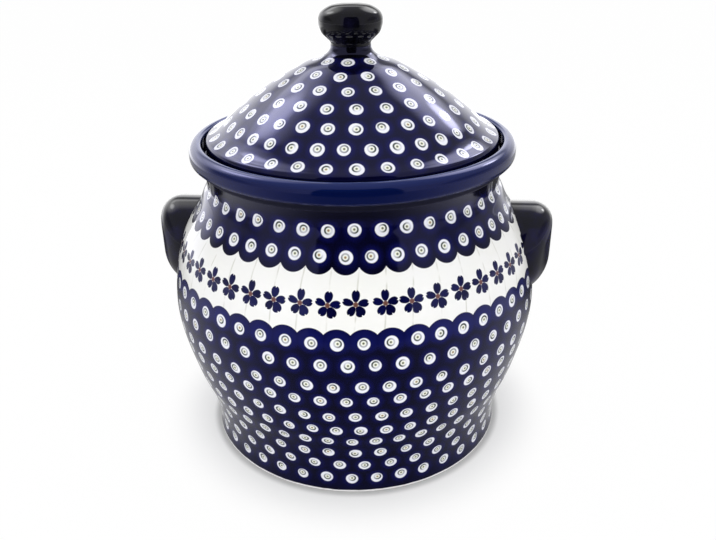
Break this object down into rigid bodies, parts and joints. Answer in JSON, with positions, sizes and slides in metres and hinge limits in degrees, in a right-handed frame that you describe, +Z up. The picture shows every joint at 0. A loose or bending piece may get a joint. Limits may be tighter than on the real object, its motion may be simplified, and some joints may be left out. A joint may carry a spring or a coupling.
{
  "type": "potato keeper",
  "caption": "Bellied stoneware potato keeper with a collared mouth, cupped side lugs and a lift-off bell-shaped lid with a round knob, glazed dark blue with white stamped dots.",
  "frame": {"origin": "Centre of the foot, on the surface that the jar stands on.", "axes": "+Z up along the jar's axis, +X through the right-hand lug as seen from the front, -Y towards the viewer."},
  "size_m": [0.2748, 0.2544, 0.2989],
  "materials": {
    "stamped_glaze": "glossy",
    "plain_dark_glaze": "glossy"
  },
  "bodies": {
    "jar": {"jar_body": "stamped_glaze", "left_handle": "plain_dark_glaze", "right_handle": "plain_dark_glaze"},
    "lid_assembly": {"lid": "stamped_glaze", "lid_knob": "plain_dark_glaze"}
  },
  "joints": [
    {"name": "lid_lift", "type": "slide", "parent": "jar", "child": "lid_assembly", "axis": [0, 0, 1], "range_m": [0, 0.15]}
  ]
}
